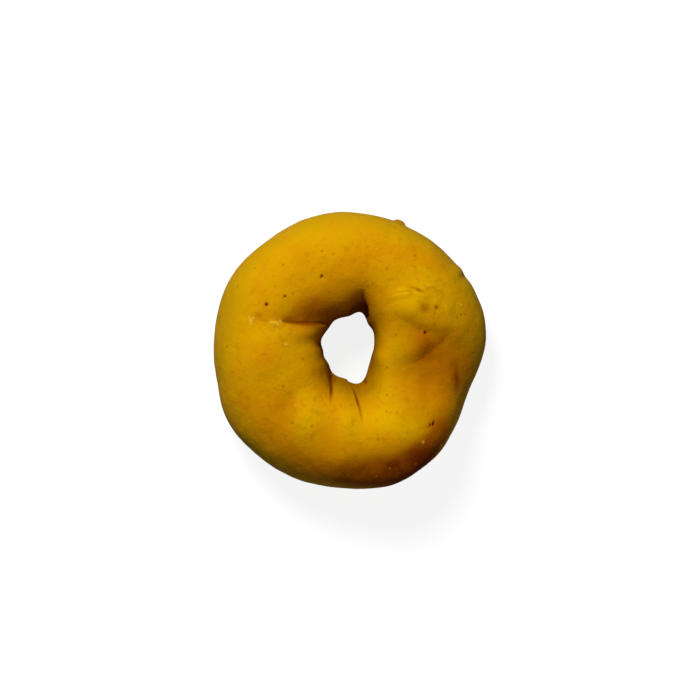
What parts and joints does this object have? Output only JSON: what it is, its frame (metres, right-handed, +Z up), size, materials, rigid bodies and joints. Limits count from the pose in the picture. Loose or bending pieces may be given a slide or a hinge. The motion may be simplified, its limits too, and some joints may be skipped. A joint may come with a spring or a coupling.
{
  "type": "bread ring",
  "caption": "Plump hand-shaped ring of smooth golden-yellow dough with a small off-round hole, soft pleats round the hole and a joined seam, resting on a flat underside.",
  "frame": {"origin": "on the resting face, below the middle of the outline's bounding box", "axes": "+Z up through the hole, out of the resting face; -X towards the seam where the rope's ends were joined; +Y towards the deep cleft behind the hole"},
  "size_m": [0.099, 0.1006, 0.0338],
  "materials": {
    "dough": "satin"
  },
  "bodies": {
    "root": {"bread_ring": "dough"}
  },
  "joints": []
}
